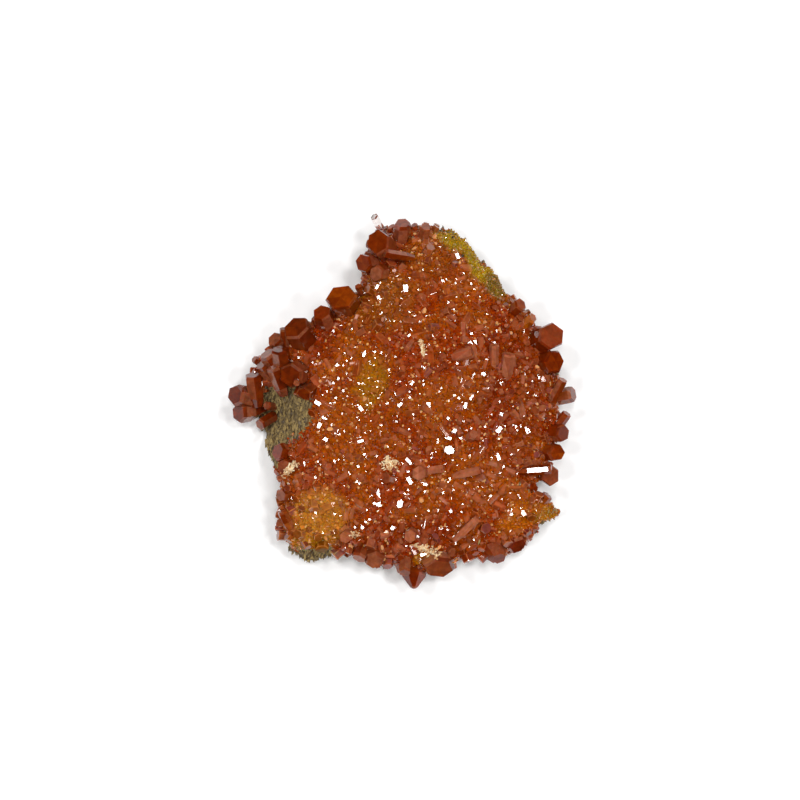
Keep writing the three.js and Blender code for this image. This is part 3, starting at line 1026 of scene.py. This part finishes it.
def add_rock_fibres():
    """Splinters of quartz and calcite in the bare rock, drawn out along Y."""
    def density(points, normals):
        bare = 1 - crust_cover(points, normals)
        return bare * (points[:, 2] > 0.8) * (0.2 + 1.6 * most_of(points, BARE_ZONES))

    template, loops = ball_template()
    points, _ = surface.draw(FIBRE_COUNT, density)
    sizes = rng.uniform(0.1, 0.3, (FIBRE_COUNT, 1, 1)) * rng.uniform(0.7, 1.2, (FIBRE_COUNT, 1, 3))
    sizes[:, 0, 2] *= rng.uniform(1.0, 3.6, FIBRE_COUNT)
    along = np.tile([0.12, 1.0, 0.0], (FIBRE_COUNT, 1))
    turns = frames_along(tilted(along, most=38), rng.uniform(0, math.pi, FIBRE_COUNT))
    vertices = np.einsum("nij,nkj->nki", turns, template[None] * sizes) + points[:, None]
    corners = (loops[None] + np.arange(FIBRE_COUNT)[:, None] * len(template)).ravel()
    mesh = mesh_from("rock_fibres", vertices.reshape(-1, 3) * MM, corners, np.full(len(corners) // 3, 3))
    look = grain_material("rock_fibre", SANDY_DARK, SANDY_LIGHT, dirt=0.4)
    make_object("rock_fibres", mesh, [look])


# ------------------------------------ the large crystals

# By the record's material slot: tint, how far it covers the zones' colour, and haze.
LARGE_LOOKS = {
    "red_crystal": (linear(132, 42, 5), 0.75, 0.6),
    "orange_crystal": (linear(134, 50, 6), 0.8, 0.6),
    "brown_crystal": (linear(140, 66, 34), 0.75, 0.9),
    "yellow_crystal": (AMBER, 0.8, 0.4),
}
EDGE_MM = 0.14  # the width of a worn edge
CLEAR_EDGE_MM = 0.17
FLAT_DEGREES = 2  # faces that meet at less than this are one flat face
SHARP_DEGREES = 28  # edges sharper than this are worn


def slot_looks():
    """The looks of the faces and of the worn edges for each of the record's slots. Vanadinite's edges are
    lighter, as wear and as a painted highlight.
    """
    looks = {
        "clear_crystal": (
            clear_crystal("clear_vanadinite", CLEAR_TINT, transmission=0.95),
            clear_crystal("clear_edge", CLEAR_EDGE_TINT, transmission=0.2),
        )
    }
    for slot, (tint, share, haze) in LARGE_LOOKS.items():
        body = vanadinite(f"vanadinite_{slot}", tint, share, spread=0.1, glow_mm=0.8, ripple_mm=0.03,
                          index=1.5, haze=haze)
        edge = vanadinite(f"wear_and_highlight_edge_{slot}", WEAR_AND_HIGHLIGHT_TINT, 0.55, spread=0.1, glow_mm=0.4)
        looks[slot] = (body, edge)
    return looks


def bevel_edges_for_wear_and_highlight(node, width_mm):
    """Joins the node's flat faces and bevels its sharp edges, in its second material. On vanadinite that
    material is lighter, as wear and as a painted highlight.
    """
    flat = node.modifiers.new("flat_faces", "DECIMATE")
    flat.decimate_type = "DISSOLVE"
    flat.angle_limit = math.radians(FLAT_DEGREES)
    bevel = node.modifiers.new("wear_and_highlight_edges", "BEVEL")
    bevel.width = width_mm * MM
    bevel.segments = 1
    bevel.limit_method = "ANGLE"
    bevel.angle_limit = math.radians(SHARP_DEGREES)
    bevel.material = 1


def finish_large_crystals():
    """Looks and worn edges, lit with a painted highlight, for the CAD's crystals. The plateau's are hazier,
    and the left edge's darker, partly as painted shade.
    """
    looks = slot_looks()
    hazy = vanadinite("vanadinite_hazy", PLATEAU_TINT, 0.8, spread=0.1, ripple_mm=0.03, haze=0.35)
    hazy_edge = vanadinite("wear_and_highlight_edge_hazy", WEAR_AND_HIGHLIGHT_TINT, 0.6, spread=0.1, glow_mm=0.4)
    deep_and_shaded = vanadinite("vanadinite_deep_and_shaded", LEFT_TINT_AND_SHADE, 0.85, spread=0.08, ripple_mm=0.03, index=1.5, haze=0.7)
    for name, node in large_crystals().items():
        slot = RECORD_SLOTS[name]
        body, edge = (hazy, hazy_edge) if name.startswith("plateau") else looks[slot]
        # The left edge's crystals are darker, partly as painted shade.
        if name.startswith("left_"):
            body = deep_and_shaded
        node.data.materials.append(edge)
        for entry, look in zip(node.material_slots, (body, edge)):
            entry.link = "OBJECT"
            entry.material = look
        bevel_edges_for_wear_and_highlight(node, CLEAR_EDGE_MM if slot == "clear_crystal" else EDGE_MM)


add_fine_druse()
add_small_crystals()
add_medium_crystals()
add_blocks()
add_rim_crystals()
add_pale_patches()
add_rock_fibres()
finish_large_crystals()


# ------------------------------------ floor, light and camera

BACKDROP_RADIUS = 1.5
BACKDROP_GLOW = 1.0
FLOOR_Z = -0.0001  # just under the specimen, in metres


def add_backdrop():
    """A pale dome behind low views. The camera sees it, and it neither lights nor shades the specimen."""
    bpy.ops.mesh.primitive_uv_sphere_add(segments=64, ring_count=32, radius=BACKDROP_RADIUS)
    dome = bpy.context.object
    dome.name = "backdrop"
    material, _, shader = new_material("pale_backdrop")
    shader.inputs["Base Color"].default_value = (0, 0, 0, 1)
    shader.inputs["Specular IOR Level"].default_value = 0.0
    shader.inputs["Emission Color"].default_value = (1, 1, 1, 1)
    shader.inputs["Emission Strength"].default_value = BACKDROP_GLOW
    dome.data.materials.append(material)
    dome.visible_diffuse = False
    dome.visible_glossy = False
    dome.visible_transmission = False
    dome.visible_volume_scatter = False
    dome.visible_shadow = False


def add_floor():
    """A round, plain, pale floor."""
    bpy.ops.mesh.primitive_circle_add(vertices=128, radius=BACKDROP_RADIUS, fill_type="NGON",
                                      location=(0, 0, FLOOR_Z))
    floor = bpy.context.object
    floor.name = "floor"
    material, _, shader = new_material("pale_floor")
    shader.inputs["Base Color"].default_value = (0.97, 0.97, 0.97, 1)
    shader.inputs["Roughness"].default_value = 1.0
    floor.data.materials.append(material)


def add_panel(name, direction, size, radiance):
    """A square light panel that faces the specimen and has the given brightness."""
    data = bpy.data.lights.new(name, "AREA")
    data.shape = "SQUARE"
    data.size = size
    data.energy = radiance * math.pi * size * size
    panel = bpy.data.objects.new(name, data)
    back = Vector(direction).normalized()
    panel.location = LOOK_AT + back * PANEL_DISTANCE
    panel.rotation_mode = "QUATERNION"
    panel.rotation_quaternion = back.to_track_quat("Z", "Y")
    bpy.context.scene.collection.objects.link(panel)


def add_lights():
    """The panels, and a faint even light from all round."""
    world = bpy.data.worlds.new("studio")
    world.use_nodes = True
    background = world.node_tree.nodes["Background"]
    background.inputs["Color"].default_value = WORLD_COLOUR
    background.inputs["Strength"].default_value = WORLD_STRENGTH
    bpy.context.scene.world = world
    for name, direction in LAMPS.items():
        add_panel(name, direction, LAMP_SIZE, LAMP_RADIANCE)
    for name, (direction, size) in WINDOWS.items():
        add_panel(name, direction, size, WINDOW_RADIANCE)


def add_camera():
    """A camera that looks down on the specimen, with +Y up in its picture."""
    data = bpy.data.cameras.new("camera")
    data.lens = LENS_MM
    data.sensor_width = SENSOR_MM
    camera = bpy.data.objects.new("camera", data)
    right = Vector((0, 1, 0)).cross(VIEW_FROM).normalized()
    upward = VIEW_FROM.cross(right)
    turn = Matrix((right, upward, VIEW_FROM)).transposed()
    camera.matrix_world = Matrix.Translation(CAMERA_AT) @ turn.to_4x4()
    bpy.context.scene.collection.objects.link(camera)
    bpy.context.scene.camera = camera


add_backdrop()
add_floor()
add_lights()
add_camera()
bpy.context.scene.view_settings.view_transform = "Standard"
